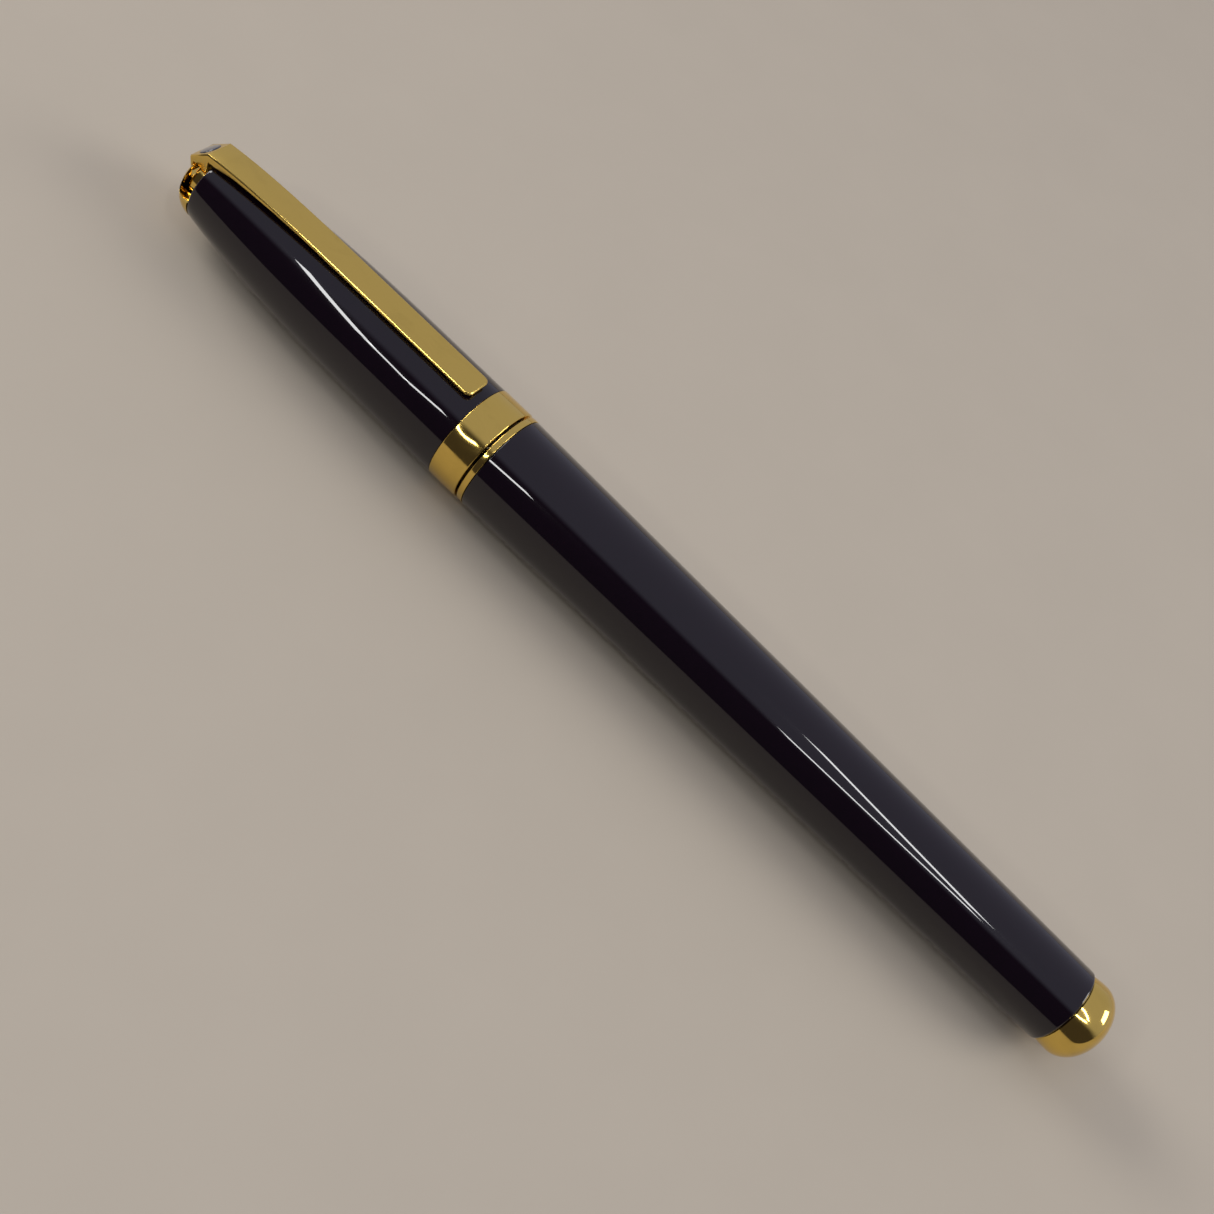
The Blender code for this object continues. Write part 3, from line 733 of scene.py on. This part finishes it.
class PEN_OT_clip(bpy.types.Operator):
    """Gold clip with chamfered blade and hooked head, and the domed stone in its slanted end"""

    bl_idname = "pen.clip"
    bl_label = "Clip"

    def execute(self, context):
        shape = context.scene.pen_shape
        half = CLIP_HIGH.y
        piece = plate("clip_blade", clip_side(), half + 1.0)
        plan = plate("clip_plan", clip_plan(half, shape.clip_corner), 9.0, plan=True)
        combine(piece, plan, "INTERSECT")
        ease(piece, shape.clip_chamfer, 1, 50.0)
        ease(piece, 0.035, 2, 28.0)
        arch = turned("arch", [(-46.92, 0.0), (-46.92, 2.98), (-44.0, 2.98), (-44.0, 0.0)], shape.small_sides, closed=False)
        combine(piece, arch)
        pin = frame["record"]["behaviour"]["joints"][1]["pos_m"]
        x, z = (pin[0] - MOUTH) / MM, (pin[2] - AXIS_Z) / MM
        slot = [(x - 0.75, 1.0), (x - 0.75, z + 0.35), (x - 0.35, z + 0.8), (-44.0, z + 0.8), (-44.0, 1.0)]
        combine(piece, plate("tongue_slot", slot, 0.95))
        combine(piece, domed_oval("stone_seat", [(1.03, -0.2), (1.03, 0.6)]))
        smooth(piece, 25.0)
        place(piece, "clip", "gold_plate", finish(clip_gold), "clip")
        rings = [(0.98, -0.18), (1.0, -0.1), (1.0, 0.04)]
        for i in range(1, 12):
            turn = i / 12 * pi / 2
            rings.append((cos(turn), 0.04 + 0.13 * sin(turn)))
        stone = domed_oval("clip_stone", rings)
        place(stone, "clip", "inlay", finish(inlay_finish), "clip_inlay")
        return {"FINISHED"}


class PEN_OT_section(bpy.types.Operator):
    """Grip section, its collar, catch ring, seal ring and gold nose"""

    bl_idname = "pen.section"
    bl_label = "Section"

    def execute(self, context):
        shape = context.scene.pen_shape
        start, end, radius = span("grip_section")
        front = 4.45
        outline = [(start, 3.96), (start, front, 0.2)]
        for i in range(1, 20):
            along = i / 20
            outline.append((start + (-4.0 - start) * along, front + (radius - front) * along**0.9))
        outline += [(-4.0, radius), (-2.45, radius, 0.08), (-2.45, 4.88), (-1.55, 4.88), (-1.55, radius, 0.08)]
        outline += [(end, radius, 0.08), (end, 4.04), (-8.0, 4.04), (-8.0, 3.4), (-19.9, 3.4), (-19.9, 3.96)]
        grip = turned("grip", rounded(outline), shape.sides)
        place(grip, "section", "lacquer", finish(lacquer_finish), "grip_section")
        collar = [
            (COLLAR_START, 4.91),
            (COLLAR_START, COLLAR_R, 0.1),
            (COLLAR_END, COLLAR_R, 0.08),
            (COLLAR_END, 4.91),
        ]
        ring = turned("collar_ring", rounded(collar), shape.sides)
        place(ring, "section", "gold_plate", finish(turned_gold), "section_collar")
        start, end, radius = span("section_catch_ring")
        catch = [(start, 4.93), (start, radius, 0.12), (end, radius, 0.12), (end, 4.93)]
        ring = turned("catch_ring", rounded(catch), shape.sides)
        place(ring, "section", "steel", finish(steel_finish), "section_catch_ring")
        start, end, radius = span("section_o_ring", INNER_FACETS)
        wire = (end - start) / 2
        loop = []
        for i in range(20):
            turn = 2 * pi * i / 20
            loop.append(((start + end) / 2 + wire * cos(turn), radius - wire + wire * sin(turn)))
        ring = turned("seal_ring", loop, shape.small_sides)
        place(ring, "section", "rubber", finish(rubber_finish), "section_o_ring")
        start, _, _ = span("nose_cone")
        mouth = 1.75
        nose = [(start, 1.32, 0.06), (start, mouth, 0.2)]
        for i in range(1, 24):
            along = i / 24
            nose.append((start + (-24.25 - start) * along, mouth + (4.42 - mouth) * sin(along * pi / 2) ** 0.94))
        nose += [(-24.05, 4.42, 0.12), (-24.05, 3.9), (-20.0, 3.9), (-20.0, 3.3), (-22.4, 3.3), (-22.4, 2.15)]
        nose += [(-30.2, 2.15), (-31.4, 1.32)]
        cone = turned("nose", rounded(nose), shape.sides)
        place(cone, "section", "gold_plate", finish(turned_gold), "nose_cone")
        return {"FINISHED"}


class PEN_OT_thread(bpy.types.Operator):
    """Brass sleeve with the thread that holds the barrel"""

    bl_idname = "pen.thread"
    bl_label = "Thread"

    def execute(self, context):
        shape = context.scene.pen_shape
        start, end, _ = span("thread_sleeve")
        root, crest, pitch, first = 4.2, 4.55, 1.0, 2.5
        outline = [(start, 3.35), (start, 3.97), (0.3, 3.97), (0.3, 4.84), (COLLAR_END, 4.84), (COLLAR_END, 4.24)]
        outline += [(2.0, root), (end - 0.3, root, 0.1), (end, root - 0.3), (end, 3.35)]
        piece = turned("threaded_sleeve", rounded(outline), shape.small_sides)
        base, half = root - 0.15, pitch * 0.34
        profile = [(-half, base), (-half * 0.25, crest), (half * 0.25, crest), (half, base)]
        length = shape.thread_turns * pitch
        ridge = wound("thread_ridge", profile, first, length, shape.thread_turns, 64)
        combine(piece, ridge, "UNION")
        smooth(piece, 25.0)
        place(piece, "section", "brass", finish(brass_finish), "thread_sleeve")
        return {"FINISHED"}


class PEN_OT_refill(bpy.types.Operator):
    """Finishes of the refill, with a round writing tip"""

    bl_idname = "pen.refill"
    bl_label = "Refill"

    def execute(self, context):
        shape = context.scene.pen_shape
        start, end, _ = span("refill_tip", SMALL_FACETS)
        outline = [(end, 0.68), (end, 0.9, 0.1), (-32.95, 0.9), (-32.95, 1.18, 0.08), (-35.2, 1.15, 0.3)]
        outline += [(-37.0, 0.64, 0.3), (start, 0.48, 0.04), (start, 0.375), (-37.2, 0.42), (-36.9, 0.42)]
        outline += [(-36.75, 0.28), (-34.3, 0.28), (-34.3, 0.68)]
        tip = turned("writing_tip", rounded(outline), shape.small_sides)
        place(tip, "refill", "steel", finish(steel_finish), "refill_tip")
        start, end, radius = span("refill_tube", SMALL_FACETS)
        tube = turned(
            "refill_case", rounded([(start, 2.76), (start, radius, 0.05), (end, radius, 0.05), (end, 2.76)]), shape.small_sides
        )
        place(tube, "refill", "steel", finish(steel_finish), "refill_tube")
        dress("refill_feed", finish(plastic_finish))
        dress("refill_end_plug", finish(plastic_finish))
        dress("ink_wick", finish(fibre_finish))
        dress("ink_reservoir", finish(fibre_finish))
        low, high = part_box("writing_ball")
        deselect()
        bpy.ops.mesh.primitive_uv_sphere_add(
            segments=48, ring_count=24, radius=(high[0] - low[0]) / 2, location=(Vector(low) + Vector(high)) / 2
        )
        ball = bpy.context.object
        ball.name = "rolling_ball"
        settle(ball, 60.0)
        place(ball, "ball", "carbide", finish(carbide_finish), "writing_ball")
        return {"FINISHED"}


class PEN_OT_barrel(bpy.types.Operator):
    """Lacquered barrel, tapering to the tail, with the finishes of the pieces inside it"""

    bl_idname = "pen.barrel"
    bl_label = "Barrel"

    def execute(self, context):
        shape = context.scene.pen_shape
        tail = BARREL_R * BARREL_TAIL_SHARE
        outline = [(BARREL_START, 5.45), (BARREL_START, BARREL_R, 0.12)]
        for i in range(1, 12):
            x = BARREL_START + (BARREL_END - BARREL_START) * i / 12
            outline.append((x, BARREL_R + (tail - BARREL_R) * i / 12))
        outline += [(BARREL_END, tail, 0.75), (BARREL_END, 4.2), (80.0, 4.3), (10.6, 5.35), (10.6, 5.45)]
        piece = turned("barrel_tube", rounded(outline, 10), shape.sides)
        place(piece, "barrel", "lacquer", finish(lacquer_finish), "barrel_shell")
        dress("barrel_bush", finish(brass_finish))
        dress("tail_insert", finish(brass_finish))
        return {"FINISHED"}


class PEN_OT_spring(bpy.types.Operator):
    """Round-wire spring behind the refill, wound to the length of its node in the frame"""

    bl_idname = "pen.spring"
    bl_label = "Refill spring"

    def execute(self, context):
        start, end, _ = span("refill_spring")
        wire, radius, coils = 0.2, 2.2, 5
        circle = [(wire * cos(turn), radius + wire * sin(turn)) for turn in between(0, 2 * pi, 14)[:-1]]
        length = end - start - 2 * wire
        spring = wound("wire_spring", circle, start + wire, length, coils, 40)
        place(spring, "spring", "steel", finish(steel_finish), "refill_spring")
        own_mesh(spring)
        return {"FINISHED"}


class PEN_OT_tail(bpy.types.Operator):
    """Gold dome at the tail"""

    bl_idname = "pen.tail"
    bl_label = "Tail"

    def execute(self, context):
        shape = context.scene.pen_shape
        root, widest = BARREL_END + 0.05, 87.8
        outline = [(81.4, 0.0), (81.4, 1.3), (81.6, 1.5), (root, 1.5), (root, 4.5), (root + 0.12, 4.6)]
        for i in range(1, 8):
            turn = i / 8 * pi / 2
            outline.append((root + 0.12 + (widest - root - 0.12) * i / 8, 4.6 + (TAIL_R - 4.6) * sin(turn)))
        for i in range(33):
            turn = i / 32 * pi / 2
            outline.append((widest + (TAIL_APEX - widest) * sin(turn), TAIL_R * cos(turn)))
        outline[-1] = (TAIL_APEX, 0.0)
        piece = turned("tail_dome", outline, shape.sides, closed=False)
        place(piece, "barrel", "gold_plate", finish(turned_gold), "tail_finial")
        return {"FINISHED"}


# --- stage ---------------------------------------------------------------------------------------


def floor_finish(colour):
    """Plain pale floor with the faintest unevenness."""
    made, tree, shader = shader_of("pale floor")
    tone = use(tree, grain, Fineness=60.0)
    link(tree, mixed(tree, tone.outputs["Height"], tinted(colour, 0.97), tinted(colour, 1.03)), shader.inputs["Base Color"])
    shader.inputs["Roughness"].default_value = 0.9
    shader.inputs["Specular IOR Level"].default_value = 0.15
    return made


def softbox(name, away, size, power, colour):
    """A square soft lamp at a place, facing the pen."""
    data = bpy.data.lights.new(name, "AREA")
    data.shape = "SQUARE"
    data.size = size
    data.energy = power
    data.color = colour
    made = bpy.data.objects.new(name, data)
    made.location = away
    made.rotation_euler = Vector(away).to_track_quat("Z", "Y").to_euler()
    bpy.context.scene.collection.objects.link(made)


def tube_lamp(name, first, last, width, power):
    """A long narrow lamp from one point to another, facing the pen."""
    data = bpy.data.lights.new(name, "AREA")
    data.shape = "RECTANGLE"
    data.size = (Vector(last) - Vector(first)).length
    data.size_y = width
    data.energy = power
    made = bpy.data.objects.new(name, data)
    middle = (Vector(first) + Vector(last)) / 2
    along = (Vector(last) - Vector(first)).normalized()
    away = (middle - along * middle.dot(along)).normalized()
    made.location = middle
    made.rotation_euler = Matrix((along, away.cross(along), away)).transposed().to_euler()
    bpy.context.scene.collection.objects.link(made)


def room_light(world, strength):
    """An even sky over the far side that fades to a dim room on the near side."""
    world.use_nodes = True
    tree = world.node_tree
    sky = tree.nodes["Background"]
    direction = add(tree, "ShaderNodeTexCoord")
    side = add(tree, "ShaderNodeVectorMath", operation="DOT_PRODUCT")
    link(tree, direction.outputs["Generated"], side.inputs[0])
    side.inputs[1].default_value = (0.0, cos(radians(33)), sin(radians(33)))
    share = add(tree, "ShaderNodeMapRange", interpolation_type="SMOOTHSTEP")
    link(tree, side.outputs["Value"], share.inputs["Value"])
    share.inputs["From Min"].default_value = -0.12
    share.inputs["From Max"].default_value = 0.10
    link(tree, mixed(tree, share.outputs["Result"], (0.11, 0.10, 0.12), (0.91, 0.92, 1.12)), sky.inputs["Color"])
    sky.inputs["Strength"].default_value = strength


TUBES = (
    ("cap_tube_lamp", (-0.278, -0.213, 0.404), (-0.206, -0.353, 0.328), 0.022, 0.20),
    ("mouth_tube_lamp", (-0.206, -0.353, 0.328), (-0.155, -0.375, 0.322), 0.022, 0.065),
    ("band_tube_lamp", (-0.155, -0.375, 0.322), (-0.089, -0.352, 0.363), 0.022, 0.095),
    ("high_tube_lamp", (0.086, -0.037, 0.506), (0.188, -0.176, 0.459), 0.018, 0.17),
    ("low_tube_lamp", (0.073, -0.278, 0.426), (0.186, -0.223, 0.438), 0.018, 0.12),
)


class PEN_OT_stage(bpy.types.Operator):
    """Camera, pale floor and soft studio light"""

    bl_idname = "pen.stage"
    bl_label = "Stage"

    def execute(self, context):
        scene = context.scene
        stage = scene.pen_stage
        data = bpy.data.cameras.new("camera")
        data.lens = stage.camera_lens
        data.sensor_width = 36.0
        data.clip_start = 0.005
        camera = bpy.data.objects.new("camera", data)
        camera.location = stage.camera_place
        camera.rotation_euler = [radians(value) for value in stage.camera_turn]
        scene.collection.objects.link(camera)
        scene.camera = camera
        deselect()
        bpy.ops.mesh.primitive_plane_add(size=6.0, location=(0, 0, -0.00002))
        floor = bpy.context.object
        floor.name = "floor"
        floor.data.materials.append(floor_finish(tuple(stage.floor)))
        scene.world = scene.world or bpy.data.worlds.new("world")
        room_light(scene.world, stage.ambient)
        softbox("left_softbox", (-0.74, 0.08, 0.39), 0.35, 3.0, (1.0, 0.97, 0.93))
        softbox("right_softbox", (0.66, 0.30, 0.42), 0.35, 2.4, (1.0, 0.98, 0.95))
        for name, first, last, width, power in TUBES:
            tube_lamp(name, first, last, width, power)
        scene.view_settings.view_transform = "Standard"
        return {"FINISHED"}


class PEN_PT_panel(bpy.types.Panel):
    """Lists the pen's pieces and the stage"""

    bl_label = "Rollerball pen"
    bl_idname = "PEN_PT_panel"
    bl_space_type = "VIEW_3D"
    bl_region_type = "UI"
    bl_category = "Pen"

    def draw(self, context):
        for settings in (context.scene.pen_shape, context.scene.pen_finish, context.scene.pen_stage):
            box = self.layout.box()
            for name in settings.__annotations__:
                box.prop(settings, name)
        for operator in OPERATORS:
            self.layout.operator(operator.bl_idname)


OPERATORS = (
    PEN_OT_cap_tube,
    PEN_OT_cap_band,
    PEN_OT_cap_inside,
    PEN_OT_crown,
    PEN_OT_clip,
    PEN_OT_section,
    PEN_OT_thread,
    PEN_OT_refill,
    PEN_OT_barrel,
    PEN_OT_spring,
    PEN_OT_tail,
    PEN_OT_stage,
)
CLASSES = (PenShape, PenFinish, PenStage, *OPERATORS, PEN_PT_panel)


def register():
    for cls in CLASSES:
        bpy.utils.register_class(cls)
    bpy.types.Scene.pen_shape = bpy.props.PointerProperty(type=PenShape)
    bpy.types.Scene.pen_finish = bpy.props.PointerProperty(type=PenFinish)
    bpy.types.Scene.pen_stage = bpy.props.PointerProperty(type=PenStage)


def unregister():
    del bpy.types.Scene.pen_stage
    del bpy.types.Scene.pen_finish
    del bpy.types.Scene.pen_shape
    for cls in reversed(CLASSES):
        bpy.utils.unregister_class(cls)


def main():
    register()
    for operator in OPERATORS:
        category, name = operator.bl_idname.split(".")
        getattr(getattr(bpy.ops, category), name)()


if __name__ == "__main__":
    main()
